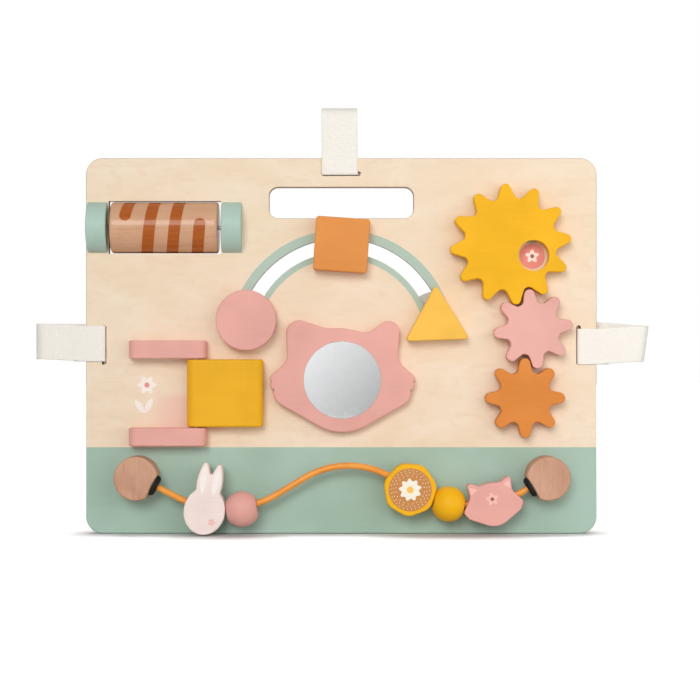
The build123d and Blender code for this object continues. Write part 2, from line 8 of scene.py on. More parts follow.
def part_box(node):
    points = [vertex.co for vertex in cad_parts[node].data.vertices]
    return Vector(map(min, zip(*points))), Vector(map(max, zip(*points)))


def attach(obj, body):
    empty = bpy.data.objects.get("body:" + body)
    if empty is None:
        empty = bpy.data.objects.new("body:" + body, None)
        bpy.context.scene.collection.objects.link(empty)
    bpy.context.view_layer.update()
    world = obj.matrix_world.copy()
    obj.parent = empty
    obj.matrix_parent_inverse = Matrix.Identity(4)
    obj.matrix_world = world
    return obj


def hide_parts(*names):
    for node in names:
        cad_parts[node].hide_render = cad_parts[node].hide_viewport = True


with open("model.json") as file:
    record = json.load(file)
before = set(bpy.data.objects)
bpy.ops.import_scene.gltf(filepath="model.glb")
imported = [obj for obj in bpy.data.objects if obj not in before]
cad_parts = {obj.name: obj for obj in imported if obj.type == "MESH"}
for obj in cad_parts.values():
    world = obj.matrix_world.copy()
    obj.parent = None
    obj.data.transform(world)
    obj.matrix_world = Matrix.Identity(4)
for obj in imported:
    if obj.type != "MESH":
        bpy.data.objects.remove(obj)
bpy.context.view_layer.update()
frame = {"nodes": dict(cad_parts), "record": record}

# The frame's unit is the metre: X runs right, Y from the play side to the back, Z up.
MM = 0.001

# ------------------------------------------------------------ places taken from the frame
BOARD_LOW, BOARD_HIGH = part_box("board")
FRONT_Y = BOARD_LOW.y
BACK_Y = BOARD_HIGH.y
FLOOR_GAP = 0.2 * MM
FLOOR_Z = BOARD_LOW.z - FLOOR_GAP
DRUM_LOW, DRUM_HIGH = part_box("roller_drum")
DRUM_CENTRE = (DRUM_LOW + DRUM_HIGH) / 2
DRUM_RADIUS = (DRUM_HIGH.z - DRUM_LOW.z) / 2
LARGE_GEAR_CENTRE = sum(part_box("large_gear_washer"), Vector()) / 2


# ------------------------------------------------------------ paint layout
# the mint strip along the board's foot, and the mint band round the arched slot
STRIP_TOP_Z = -79.5 * MM
BAND_CENTRE = Vector((0.0, 0.0, 2.6)) * MM
BAND_MIDDLE = 77.05 * MM
BAND_WIDTH = 22.5 * MM
BAND_FOOT_Z = 12 * MM
PAINT_RIM = 0.12 * MM
PAINT_DEPTH = 1.0 * MM
# the plywood's layers, and how near the board's outline an edge counts as sanded
PLIES = 7
OUTER_EDGE = 4 * MM
# the blush wash beside the flap: where each of its sides is faint and where it is full, in mm
WASH_SIDES_X = ((-154, -136), (-84, -92))
WASH_SIDES_Z = ((-34, -42), (-68, -64))
WASH_STRENGTH = 0.8
STRIPE_WIDTH = 9.1 * MM
STRIPE_RIM = 0.1 * MM
# each stripe on the drum as two ends, (along the axle, up the unrolled front), in mm
DRUM_STRIPES = [
    ((-29.6, 9.0), (-25.8, 31.0)),
    ((-14.4, -31.0), (-6.5, 31.0)),
    ((5.4, -31.0), (12.8, 31.0)),
    ((25.2, -31.0), (28.5, 2.0)),
    ((-21.0, 40.0), (-16.0, 58.0)),
    ((2.0, 38.0), (8.0, 58.0)),
    ((-30.0, -58.0), (-24.0, -40.0)),
    ((14.0, -58.0), (20.0, -40.0)),
]


# ------------------------------------------------------------ colours and shader graphs
def linear(red, green, blue):
    """A colour written as sRGB 0 to 255, as the linear RGBA that a shader socket takes."""
    def channel(value):
        value /= 255
        return value / 12.92 if value <= 0.04045 else ((value + 0.055) / 1.055) ** 2.4
    return (channel(red), channel(green), channel(blue), 1.0)


class Nodes:
    """A node tree, with a short call for each kind of node used here."""

    def __init__(self, owner):
        owner.use_nodes = True
        self.tree = owner.node_tree

    def node(self, kind, **properties):
        node = self.tree.nodes.new(kind)
        for name, value in properties.items():
            setattr(node, name, value)
        return node

    def link(self, source, target):
        self.tree.links.new(source, target)

    def feed(self, socket, value):
        """Sets a socket to a number or colour, or links it to another node's output."""
        if isinstance(value, bpy.types.NodeSocket):
            self.link(value, socket)
        else:
            socket.default_value = value

    def math(self, operation, a, b=0.0, clamp=False):
        node = self.node("ShaderNodeMath", operation=operation, use_clamp=clamp)
        self.feed(node.inputs[0], a)
        self.feed(node.inputs[1], b)
        return node.outputs[0]

    def vector(self, operation, a, b=(0.0, 0.0, 0.0), scale=None):
        node = self.node("ShaderNodeVectorMath", operation=operation)
        self.feed(node.inputs[0], a)
        self.feed(node.inputs[1], b)
        if scale is not None:
            self.feed(node.inputs["Scale"], scale)
        return node.outputs["Value" if operation in ("LENGTH", "DOT_PRODUCT") else "Vector"]

    def split(self, vector):
        node = self.node("ShaderNodeSeparateXYZ")
        self.feed(node.inputs[0], vector)
        return node.outputs[0], node.outputs[1], node.outputs[2]

    def join(self, x, y, z):
        node = self.node("ShaderNodeCombineXYZ")
        for socket, value in zip(node.inputs, (x, y, z)):
            self.feed(socket, value)
        return node.outputs[0]

    def mix(self, share, a, b):
        node = self.node("ShaderNodeMix", data_type="RGBA")
        self.feed(node.inputs[0], share)
        self.feed(node.inputs[6], a)
        self.feed(node.inputs[7], b)
        return node.outputs[2]

    def ramp(self, value, low, high, start, end, kind="LINEAR"):
        """Runs from start to end while value runs from low to high."""
        node = self.node("ShaderNodeMapRange", interpolation_type=kind)
        for socket, setting in zip(node.inputs, (value, low, high, start, end)):
            self.feed(socket, setting)
        return node.outputs[0]

    def band(self, value, low, high, start=0.0, end=1.0):
        """The same as a smooth step."""
        return self.ramp(value, low, high, start, end, kind="SMOOTHSTEP")

    def seen_directly(self):
        """1 for rays from the camera, and for those that metal and glass reflect or pass on."""
        path = self.node("ShaderNodeLightPath").outputs
        seen = self.math("MAXIMUM", path["Is Camera Ray"], path["Is Glossy Ray"])
        return self.math("MAXIMUM", seen, path["Is Transmission Ray"])


class Graph(Nodes):
    """A material with one principled surface, and its textures in object space."""

    def __init__(self, name, **settings):
        self.material = bpy.data.materials.new(name)
        super().__init__(self.material)
        self.tree.nodes.clear()
        self.surface = self.node("ShaderNodeBsdfPrincipled")
        output = self.node("ShaderNodeOutputMaterial")
        self.link(self.surface.outputs[0], output.inputs["Surface"])
        for socket, value in settings.items():
            self.surface.inputs[socket.replace("_", " ")].default_value = value
        self.place = self.node("ShaderNodeTexCoord").outputs["Object"]

    def noise(self, scale, stretch=(1, 1, 1), detail=3.0, rough=0.5, warp=0.0, shift=(0, 0, 0)):
        """Noise in object space, drawn out along an axis by a small stretch factor there."""
        mapping = self.node("ShaderNodeMapping")
        self.link(self.place, mapping.inputs["Vector"])
        mapping.inputs["Scale"].default_value = stretch
        mapping.inputs["Location"].default_value = shift
        node = self.node("ShaderNodeTexNoise")
        self.link(mapping.outputs[0], node.inputs["Vector"])
        node.inputs["Scale"].default_value = scale
        node.inputs["Detail"].default_value = detail
        node.inputs["Roughness"].default_value = rough
        node.inputs["Distortion"].default_value = warp
        return node.outputs["Fac"]

    def bump(self, height, distance, strength, normal=None):
        node = self.node("ShaderNodeBump")
        node.inputs["Strength"].default_value = strength
        node.inputs["Distance"].default_value = distance
        self.link(height, node.inputs["Height"])
        if normal is not None:
            self.link(normal, node.inputs["Normal"])
        return node.outputs[0]

    def finish(self, colour, rough=None, normal=None):
        self.feed(self.surface.inputs["Base Color"], colour)
        if rough is not None:
            self.feed(self.surface.inputs["Roughness"], rough)
        if normal is not None:
            self.link(normal, self.surface.inputs["Normal"])
        return self.material


ALONG_X = (0.1, 1, 1)
ALONG_Z = (1, 1, 0.1)


def paint(name, colour, grain):
    """Satin water-based paint on wood: faint cloudiness, brush drag along the grain, fine pores."""
    graph = Graph(name, Specular_IOR_Level=0.15)
    cloud = graph.noise(22, detail=2)
    drag = graph.noise(420, grain, detail=4, rough=0.6)
    pores = graph.noise(2600, grain, detail=1)
    pale = tuple(min(1.0, c * 1.06 + 0.004) for c in colour[:3]) + (1.0,)
    deep = tuple(c * 0.94 for c in colour[:3]) + (1.0,)
    tone = graph.mix(graph.band(cloud, 0.3, 0.7), deep, pale)
    tone = graph.mix(graph.band(drag, 0.35, 0.75, 0, 0.35), tone, pale)
    sheen = graph.band(drag, 0.3, 0.8, 0.38, 0.49)
    normal = graph.bump(drag, 0.05 * MM, 0.25)
    normal = graph.bump(pores, 0.02 * MM, 0.25, normal)
    return graph.finish(tone, sheen, normal)


BIRCH_PALE = linear(245, 227, 203)
BIRCH_MID = linear(241, 219, 190)
BIRCH_DEEP = linear(232, 205, 171)
BIRCH_FLECK = linear(210, 176, 138)
PLY_LIGHT = linear(226, 196, 156)
PLY_DARK = linear(176, 132, 92)
CUT_LIGHT = linear(158, 116, 84)
CUT_DARK = linear(104, 70, 48)
MINT_DEEP = linear(163, 189, 172)
MINT_STRIP = linear(173, 199, 184)
MINT_WORN = linear(181, 206, 191)
MINT_BAND = linear(182, 200, 185)
MINT_CAP = linear(175, 200, 187)
BLUSH = linear(241, 204, 187)


def birch_colour(graph):
    """Rotary-cut birch veneer: broad faint figure, mottling, fine streaks and short flecks."""
    figure = graph.noise(13, (0.45, 1, 1), detail=3, warp=1.6)
    mottle = graph.noise(150, (0.4, 1, 1), detail=3, warp=0.8)
    streaks = graph.noise(420, ALONG_X, detail=4, rough=0.6)
    fibres = graph.noise(1900, (0.12, 1, 1), detail=3)
    flecks = graph.noise(800, (0.2, 1, 1), detail=1, shift=(3, 1, 7))
    tone = graph.mix(graph.band(figure, 0.32, 0.68), BIRCH_MID, BIRCH_PALE)
    tone = graph.mix(graph.band(mottle, 0.45, 0.75, 0, 0.35), tone, BIRCH_DEEP)
    tone = graph.mix(graph.band(streaks, 0.48, 0.8, 0, 0.22), tone, BIRCH_DEEP)
    tone = graph.mix(graph.band(fibres, 0.5, 0.8, 0, 0.25), tone, BIRCH_DEEP)
    tone = graph.mix(graph.band(flecks, 0.72, 0.82, 0, 0.3), tone, BIRCH_FLECK)
    return tone, streaks, fibres


def birch_board():
    """The plywood board: veneered faces, laminated edges, a mint strip and a mint band."""
    graph = Graph("birch_board", Specular_IOR_Level=0.2)
    x, y, z = graph.split(graph.place)
    face, streaks, fibres = birch_colour(graph)
    # edges show the plies through the thickness
    wobble = graph.math("MULTIPLY", graph.noise(60, (1, 0.2, 1), detail=2), 0.5 * MM)
    depth = graph.math("ADD", y, wobble)
    phase = graph.math("MULTIPLY", depth, PLIES * pi / (BACK_Y - FRONT_Y))
    ply = graph.band(graph.math("SINE", phase), -0.35, 0.35)
    edge = graph.mix(ply, PLY_DARK, PLY_LIGHT)
    edge = graph.mix(graph.band(graph.noise(1200, (0.3, 1, 0.3), detail=3), 0.4, 0.8, 0, 0.5),
                     edge, PLY_DARK)
    # the walls of the slots and holes are browner than the sanded outer edge
    past_x = graph.math("SUBTRACT", graph.math("ABSOLUTE", x), BOARD_HIGH.x - OUTER_EDGE)
    past_z = graph.math("SUBTRACT", graph.math("ABSOLUTE", z), BOARD_HIGH.z - OUTER_EDGE)
    outward = graph.math("MAXIMUM", past_x, past_z)
    cut = graph.mix(ply, CUT_DARK, CUT_LIGHT)
    edge = graph.mix(graph.band(outward, -0.5 * MM, 0.5 * MM), cut, edge)
    normal = graph.node("ShaderNodeNewGeometry").outputs["Normal"]
    _, facing, _ = graph.split(normal)
    on_face = graph.band(graph.math("ABSOLUTE", facing), 0.45, 0.75)
    wood = graph.mix(on_face, edge, face)
    # paint, only on the play side
    strip = graph.band(z, STRIP_TOP_Z + PAINT_RIM, STRIP_TOP_Z - PAINT_RIM)
    from_centre = graph.vector("SUBTRACT", graph.place, tuple(BAND_CENTRE))
    radial = graph.vector("LENGTH", graph.vector("MULTIPLY", from_centre, (1, 0, 1)))
    band = graph.math("ABSOLUTE", graph.math("SUBTRACT", radial, BAND_MIDDLE))
    band = graph.band(band, BAND_WIDTH / 2 + PAINT_RIM, BAND_WIDTH / 2 - PAINT_RIM)
    above_foot = graph.band(z, BAND_FOOT_Z - PAINT_RIM, BAND_FOOT_Z + PAINT_RIM)
    band = graph.math("MULTIPLY", band, above_foot)
    painted = graph.math("MAXIMUM", strip, band)
    near_front = graph.band(y, FRONT_Y + 1.1 * PAINT_DEPTH, FRONT_Y + 0.9 * PAINT_DEPTH)
    painted = graph.math("MULTIPLY", painted, near_front)
    painted = graph.math("MULTIPLY", painted, graph.band(facing, -0.25, -0.45))
    mint = graph.mix(graph.band(graph.noise(18, detail=2), 0.3, 0.7), MINT_DEEP, MINT_STRIP)
    mint = graph.mix(graph.band(streaks, 0.45, 0.8, 0, 0.25), mint, MINT_WORN)
    mint = graph.mix(graph.math("MULTIPLY", band, 0.8), mint, MINT_BAND)
    # a soft pink wash on the board beside the flap, full in its middle and fading at its sides
    wash = WASH_STRENGTH
    for value, sides in ((x, WASH_SIDES_X), (z, WASH_SIDES_Z)):
        for faint, full in sides:
            wash = graph.math("MULTIPLY", wash, graph.band(value, faint * MM, full * MM))
    wash = graph.math("MULTIPLY", wash, graph.band(facing, -0.8, -0.9))
    wood = graph.mix(wash, wood, BLUSH)
    tone = graph.mix(painted, wood, mint)
    rough = graph.band(streaks, 0.3, 0.8, 0.46, 0.58)
    normal = graph.bump(streaks, 0.05 * MM, 0.2)
    normal = graph.bump(fibres, 0.02 * MM, 0.2, normal)
    return graph.finish(tone, rough, normal)


def birch_turned():
    """Sanded birch for the gears' hubs and washers."""
    graph = Graph("birch_turned")
    tone, streaks, fibres = birch_colour(graph)
    tone = graph.mix(0.18, tone, PLY_DARK)
    rings = graph.noise(180, (1, 0.1, 0.4), detail=2, warp=0.6)
    tone = graph.mix(graph.band(rings, 0.45, 0.7, 0, 0.4), tone, BIRCH_DEEP)
    return graph.finish(tone, graph.band(streaks, 0.3, 0.8, 0.5, 0.62),
                        graph.bump(fibres, 0.05 * MM, 0.3))


BEECH_PALE = linear(208, 160, 130)
BEECH_MID = linear(193, 142, 113)
BEECH_DEEP = linear(160, 106, 78)
BEECH_SUNNY = linear(226, 178, 136)


def beech_colour(graph, along):
    """Beech: warm pinkish brown with short dark ray flecks drawn out along the grain.

    along is the stretch of the streaks, with a small factor on the axis of the grain.
    """
    cloud = graph.noise(40, detail=2, warp=0.5)
    streaks = graph.noise(500, along, detail=4, rough=0.6)
    flecks = graph.noise(1500, tuple(0.16 if k < 1 else 1 for k in along), detail=1)
    tone = graph.mix(graph.band(cloud, 0.3, 0.7), BEECH_MID, BEECH_PALE)
    tone = graph.mix(graph.band(streaks, 0.42, 0.78, 0, 0.4), tone, BEECH_DEEP)
    tone = graph.mix(graph.band(flecks, 0.62, 0.76, 0, 0.55), tone, BEECH_DEEP)
    return tone, streaks, flecks


def beech():
    """Sanded beech for the knobs, its grain upright."""
    graph = Graph("beech")
    tone, streaks, flecks = beech_colour(graph, (1, 1, 0.08))
    normal = graph.bump(streaks, 0.06 * MM, 0.3)
    return graph.finish(tone, graph.band(flecks, 0.3, 0.8, 0.46, 0.6), normal)


def striped_drum():
    """The beech roller under clear lacquer, with slanted brown stripes painted round it."""
    graph = Graph("striped_drum", Specular_IOR_Level=0.1, Coat_Weight=0.4, Coat_Roughness=0.14)
    tone, streaks, flecks = beech_colour(graph, (0.05, 1, 1))
    x, y, z = graph.split(graph.vector("SUBTRACT", graph.place, tuple(DRUM_CENTRE)))
    # unrolled: X along the axle, Z the height up the play side, as an arc length
    turn = graph.math("ARCTAN2", z, graph.math("MULTIPLY", y, -1.0))
    height = graph.math("MULTIPLY", turn, DRUM_RADIUS)
    flat = graph.join(x, 0.0, height)
    painted = None
    for (x0, z0), (x1, z1) in DRUM_STRIPES:
        start = Vector((x0, 0, z0)) * MM
        run = Vector((x1 - x0, 0, z1 - z0)) * MM
        ahead = graph.vector("SUBTRACT", flat, tuple(start))
        share = graph.math("DIVIDE", graph.vector("DOT_PRODUCT", ahead, tuple(run)),
                           run.length_squared, clamp=True)
        across = graph.vector("SUBTRACT", ahead, graph.vector("SCALE", tuple(run), scale=share))
        distance = graph.vector("LENGTH", across)
        stripe = graph.band(distance, STRIPE_WIDTH / 2 + STRIPE_RIM, STRIPE_WIDTH / 2 - STRIPE_RIM)
        painted = stripe if painted is None else graph.math("MAXIMUM", painted, stripe)
    brown = graph.mix(graph.band(streaks, 0.35, 0.75), linear(168, 80, 2), linear(182, 92, 8))
    tone = graph.mix(painted, graph.mix(0.4, tone, BEECH_SUNNY), brown)
    normal = graph.bump(streaks, 0.05 * MM, 0.2)
    return graph.finish(tone, graph.band(flecks, 0.3, 0.8, 0.4, 0.5), normal)


def rubber():
    """Matt black rubber for the grommets."""
    graph = Graph("black_rubber", Specular_IOR_Level=0.2)
    grain = graph.noise(1400, detail=3)
    tone = graph.mix(graph.band(grain, 0.3, 0.7), linear(10, 9, 9), linear(18, 17, 16))
    normal = graph.bump(grain, 0.08 * MM, 0.3)
    return graph.finish(tone, graph.band(grain, 0.3, 0.7, 0.55, 0.7), normal)


def steel():
    """Zinc-plated steel with fine turning marks."""
    graph = Graph("steel", Metallic=1.0)
    marks = graph.noise(1800, (1, 0.1, 1), detail=2)
    tone = graph.mix(graph.band(marks, 0.3, 0.7), linear(186, 186, 184), linear(206, 206, 202))
    normal = graph.bump(marks, 0.02 * MM, 0.3)
    return graph.finish(tone, graph.band(marks, 0.3, 0.7, 0.26, 0.38), normal)


def nylon():
    """Off-white nylon for the blocks' bushes and retaining discs."""
    graph = Graph("nylon", Subsurface_Weight=0.1)
    haze = graph.noise(300, detail=2)
    tone = graph.mix(graph.band(haze, 0.3, 0.7), linear(226, 224, 214), linear(236, 234, 226))
    normal = graph.bump(haze, 0.03 * MM, 0.2)
    return graph.finish(tone, graph.band(haze, 0.3, 0.7, 0.38, 0.46), normal)


def coated_wire():
    """Smooth orange plastic coating on steel wire."""
    graph = Graph("orange_coating", Specular_IOR_Level=0.35)
    ripple = graph.noise(120, detail=2)
    fine = graph.noise(2400, detail=1)
    tone = graph.mix(graph.band(ripple, 0.3, 0.7), linear(238, 148, 48), linear(246, 162, 62))
    normal = graph.bump(ripple, 0.06 * MM, 0.2)
    return graph.finish(tone, graph.band(fine, 0.3, 0.7, 0.28, 0.36), normal)


def mirror():
    """Acrylic mirror: bright, with the slight waviness and haze of a plastic sheet."""
    graph = Graph("acrylic_mirror", Metallic=1.0)
    wave = graph.noise(14, detail=1)
    haze = graph.noise(240, detail=2)
    tone = graph.mix(graph.band(haze, 0.3, 0.7), linear(230, 232, 233), linear(233, 235, 235))
    normal = graph.bump(wave, 0.06 * MM, 0.1)
    return graph.finish(tone, graph.band(haze, 0.3, 0.7, 0.03, 0.045), normal)


def ink(name, colour):
    """A printed motif: flat ink with the board's fine grain showing through."""
    graph = Graph(name)
    fibres = graph.noise(1400, (0.05, 1, 1), detail=2)
    speck = graph.noise(3000, detail=1)
    pale = tuple(min(1.0, c * 1.10 + 0.01) for c in colour[:3]) + (1.0,)
    tone = graph.mix(graph.band(fibres, 0.35, 0.7, 0, 0.6), colour, pale)
    normal = graph.bump(fibres, 0.02 * MM, 0.2)
    return graph.finish(tone, graph.band(speck, 0.3, 0.7, 0.41, 0.49), normal)


def cotton(name, colour, shade, bump_depth=0.12 * MM):
    """Cotton yarn: soft, with fibre fuzz and faint variation from yarn to yarn."""
    graph = Graph(name, Sheen_Weight=0.35, Sheen_Roughness=0.5, Specular_IOR_Level=0.25)
    yarn = graph.noise(700, detail=3, rough=0.6)
    fuzz = graph.noise(4200, detail=2)
    tone = graph.mix(graph.band(yarn, 0.3, 0.7), shade, colour)
    normal = graph.bump(fuzz, bump_depth, 0.5)
    return graph.finish(tone, graph.band(fuzz, 0.3, 0.7, 0.85, 0.95), normal)


MATERIALS = {
    "birch_board": birch_board(),
    "birch_turned": birch_turned(),
    "beech": beech(),
    "mint_paint": paint("mint_paint", MINT_CAP, ALONG_Z),
    "pink_paint": paint("pink_paint", linear(233, 171, 160), ALONG_X),
    "light_pink_paint": paint("light_pink_paint", linear(233, 174, 163), ALONG_X),
    "yellow_paint": paint("yellow_paint", linear(246, 183, 18), ALONG_X),
    "orange_paint": paint("orange_paint", linear(224, 137, 60), ALONG_X),
    "cream_paint": paint("cream_paint", linear(250, 232, 225), ALONG_X),
    "orange_coating": coated_wire(),
    "black_rubber": rubber(),
    "acrylic_mirror": mirror(),
    "steel": steel(),
    "nylon": nylon(),
    "webbing": cotton("webbing", linear(252, 247, 239), linear(246, 240, 230), 0.05 * MM),
    "loop_tape": cotton("loop_tape", linear(238, 235, 228), linear(222, 217, 208), 0.4 * MM),
    "hook_tape": cotton("hook_tape", linear(236, 233, 226), linear(224, 220, 212)),
}
for row in frame["record"]["subparts"]:
    node = frame["nodes"][row["node"]]
    node.data.materials.clear()
    node.data.materials.append(MATERIALS[row["material_slot"]])
# three nodes are painted unlike the others of their slot, and the drum has its stripes
SPECIAL = {
    "roller_drum": striped_drum(),
    "door_panel": paint("flap_yellow", linear(240, 178, 30), ALONG_Z),
    "triangle_block": paint("triangle_yellow", linear(249, 192, 78), ALONG_X),
    "square_block": paint("square_orange", linear(229, 147, 72), ALONG_X),
}
for name, material in SPECIAL.items():
    frame["nodes"][name].data.materials[0] = material


# ------------------------------------------------------------ objects
def add_object(name, data):
    made = bpy.data.objects.new(name, data)
    bpy.context.scene.collection.objects.link(made)
    return made


def mesh_object(name, verts, faces, material):
    mesh = bpy.data.meshes.new(name)
    mesh.from_pydata([tuple(v) for v in verts], [], faces)
    mesh.materials.append(material)
    return add_object(name, mesh)


def grid_faces(rows, columns, first=0):
    """The quads of a grid whose points are numbered row by row from first."""
    wide = columns + 1
    corners = [first + row * wide + column for row in range(rows) for column in range(columns)]
    return [[a, a + 1, a + wide + 1, a + wide] for a in corners]


# ------------------------------------------------------------ camera, light, floor
# The camera looks straight at the play side, a little right of and below its middle.
CAMERA_DISTANCE = 1.4
CAMERA_X = 6.8 * MM
CAMERA_Z = -3.3 * MM
PICTURE_WIDTH = 700
PIXELS_PER_MM = 1.277
VIEW_WIDTH = PICTURE_WIDTH / PIXELS_PER_MM * MM
SENSOR = 36.0
WORLD_LEVEL = 0.31
WHITE = (1, 1, 1, 1)
# the floor, and the glow that lifts it to white: from LIFT_NEAR_END to LIFT_FAR_END it grows
FLOOR_HALF = 6.0
FLOOR_CELLS = 12
FLOOR_TONE = (0.7, 0.7, 0.7, 1)
FLOOR_LIFT = 0.72
FLOOR_LIFT_FAR = 0.95
LIFT_NEAR_END = 0.3
LIFT_FAR_END = 1.2
# how far and how steeply the floor's painted contact shadow reaches
CONTACT_REACH = 0.032
CONTACT_SHARPNESS = 4.0
# the card in the mirror's view
CARD_HALF = 0.5
CARD_Y = -2.2
CARD_BLEND = 0.16
CARD_BRIGHT = 1.22
CARD_DIM = 0.58


def photo_camera():
    data = bpy.data.cameras.new("camera")
    data.sensor_width = SENSOR
    data.lens = SENSOR * CAMERA_DISTANCE / VIEW_WIDTH
    camera = add_object("camera", data)
    camera.location = (CAMERA_X, FRONT_Y - CAMERA_DISTANCE, CAMERA_Z)
    camera.rotation_euler = (pi / 2, 0, 0)
    bpy.context.scene.camera = camera


def lamp(name, direction, distance, size, share):
    """A square soft light whose light on a surface facing it is that share of full level."""
    data = bpy.data.lights.new(name, "AREA")
    data.size = size
    data.energy = share * pi ** 2 * distance ** 2
    light = add_object(name, data)
    away = Vector(direction).normalized()
    light.location = away * distance
    light.rotation_mode = "QUATERNION"
    light.rotation_quaternion = away.to_track_quat("Z", "Y")


def studio_world():
    """Soft light from all round, behind a backdrop that the camera sees as white."""
    world = bpy.data.worlds.new("studio")
    bpy.context.scene.world = world
    sky = Nodes(world)
    background = sky.tree.nodes["Background"]
    background.inputs["Color"].default_value = WHITE
    level = sky.ramp(sky.seen_directly(), 0.0, 1.0, WORLD_LEVEL, 1.0)
    sky.link(level, background.inputs["Strength"])


def floor():
    """A pale floor that shows white where it is lit and keeps the object's shadow."""
    graph = Graph("floor", Roughness=0.9, Specular_IOR_Level=0.1, Emission_Color=WHITE)
    # the lift fades by ambient occlusion where the object stands close: a painted contact shadow on
    # the floor, added to the lamps' own shadow
    openness = graph.node("ShaderNodeAmbientOcclusion")
    openness.inputs["Distance"].default_value = CONTACT_REACH
    open_share = graph.math("POWER", openness.outputs["AO"], CONTACT_SHARPNESS)
    # far from the object the lamps reach less, and the lift is stronger
    away = graph.vector("LENGTH", graph.place)
    lift = graph.ramp(away, LIFT_NEAR_END, LIFT_FAR_END, FLOOR_LIFT, FLOOR_LIFT_FAR)
    lift = graph.math("MULTIPLY", open_share, lift)
    lift = graph.math("MULTIPLY", lift, graph.seen_directly())
    graph.link(lift, graph.surface.inputs["Emission Strength"])
    ticks = [FLOOR_HALF * (2 * i / FLOOR_CELLS - 1) for i in range(FLOOR_CELLS + 1)]
    verts = [(x, y, FLOOR_Z) for y in ticks for x in ticks]
    faces = grid_faces(FLOOR_CELLS, FLOOR_CELLS)
    mesh_object("floor", verts, faces, graph.finish(FLOOR_TONE))


def studio_card():
    """A card behind the camera, seen only in the mirror: paler at the upper left."""
    material = bpy.data.materials.new("studio_card")
    glow = Nodes(material)
    glow.tree.nodes.clear()
    emission = glow.node("ShaderNodeEmission")
    output = glow.node("ShaderNodeOutputMaterial")
    glow.link(emission.outputs[0], output.inputs["Surface"])
    place = glow.node("ShaderNodeTexCoord").outputs["Object"]
    slope = glow.vector("DOT_PRODUCT", place, (1.0, 0.0, -1.0))
    tone = glow.ramp(slope, -CARD_BLEND, CARD_BLEND, CARD_BRIGHT, CARD_DIM)
    glow.link(tone, emission.inputs["Strength"])
    verts = [(x * CARD_HALF, 0, z * CARD_HALF) for x, z in ((-1, -1), (1, -1), (1, 1), (-1, 1))]
    card = mesh_object("studio_card", verts, [(0, 1, 2, 3)], material)
    card.location = (0, CARD_Y, 0)
    card.visible_camera = False
    card.visible_diffuse = False
    card.visible_shadow = False


photo_camera()
lamp("key", direction=(-0.20, -1.0, 0.38), distance=6.0, size=2.4, share=0.44)
lamp("right_fill", direction=(0.75, -1.0, 0.15), distance=1.05, size=1.0, share=0.36)
lamp("back_fill", direction=(0.5, 1.0, 0.5), distance=6.0, size=2.4, share=0.3)
studio_world()
floor()
studio_card()
bpy.context.scene.view_settings.view_transform = "Standard"


# ------------------------------------------------------------ pieces and prints
PRINT_THICKNESS = 0.08 * MM
PRINT_SINK = 0.02 * MM


def add_piece(name, verts, faces, material, body, smooth=True):
    piece = mesh_object(name, verts, faces, material)
    piece.data.validate()
    piece.data.polygons.foreach_set("use_smooth", [smooth] * len(piece.data.polygons))
    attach(piece, body)
    return piece


def ring(shape, count, centre=(0.0, 0.0)):
    """A closed outline from a polar formula: shape(angle) is the radius there, in mm."""
    points = []
    for i in range(count):
        angle = 2 * pi * i / count
        radius = shape(angle)
        points.append((centre[0] + radius * cos(angle), centre[1] + radius * sin(angle)))
    return points


def blossom(radius, petals, depth, count=80, centre=(0.0, 0.0), turn=0.0):
    return ring(lambda a: radius * (1 - depth + depth * cos(petals * (a - turn))), count, centre)


def disc(radius, centre=(0.0, 0.0), count=40):
    return ring(lambda a: radius, count, centre)


def leaf(length, width, centre=(0.0, 0.0), lean=0.0, count=14):
    """A leaf with a point at each end, its length along the second axis."""
    bow = (length ** 2 + width ** 2) / (4 * width)
    half = atan2(length / 2, bow - width / 2)
    side = [(bow * cos(a) - (bow - width / 2), bow * sin(a))
            for a in [half * (2 * i / count - 1) for i in range(count + 1)]]
    points = side + [(-x, -y) for x, y in side[1:-1]]
    c, s = cos(radians(lean)), sin(radians(lean))
    return [(centre[0] + x * c + y * s, centre[1] - x * s + y * c) for x, y in points]


def decal(name, outlines, place, material, body, base=0.0):
    """A print: closed flat prisms on a face, base above it.

    place turns (x, y) in mm into a point of that face and gives the way out of it.
    """
    verts, faces = [], []
    for outline in outlines:
        first, count = len(verts), len(outline)
        for lift in (base - PRINT_SINK, base + PRINT_THICKNESS):
            for x, y in outline:
                point, out = place(x, y)
                verts.append(point + out * lift)
        faces.append([first + count + i for i in range(count)])
        faces.append([first + i for i in reversed(range(count))])
        for i in range(count):
            j = (i + 1) % count
            faces.append([first + i, first + j, first + count + j, first + count + i])
    return add_piece(name, verts, faces, material, body, smooth=False)


def facing_front(origin, y, turn=0.0):
    """The place function of a face that looks out of the play side, with its origin in mm."""
    c, s = cos(radians(turn)), sin(radians(turn))

    def place(u, v):
        x = origin[0] + u * c - v * s
        z = origin[1] + u * s + v * c
        return Vector((x * MM, y, z * MM)), Vector((0, -1, 0))
    return place


# ------------------------------------------------------------ prints on the board
INK_ROSE = ink("ink_rose", linear(226, 140, 128))
INK_WHITE = ink("ink_white", linear(246, 234, 226))
INK_OCHRE = ink("ink_ochre", linear(196, 128, 56))
INK_CREAM = ink("ink_cream", linear(250, 240, 222))
INK_PLUM = ink("ink_plum", linear(150, 84, 76))
INK_MINT = ink("ink_mint", linear(163, 190, 171))
INK_YELLOW = ink("ink_yellow", linear(247, 196, 84))
INK_SHELL = ink("ink_shell", linear(253, 241, 236))
INK_PETAL = ink("ink_petal", linear(243, 190, 178))

# in mm and degrees
FLAP_PRINT_AT = (-152.2, -30.7)
GEAR_PRINTS = 6
GEAR_PRINT_RING = 19.9
GEAR_PRINT_ANGLE = -26.2
GEAR_PRINT_RADIUS = 9.9


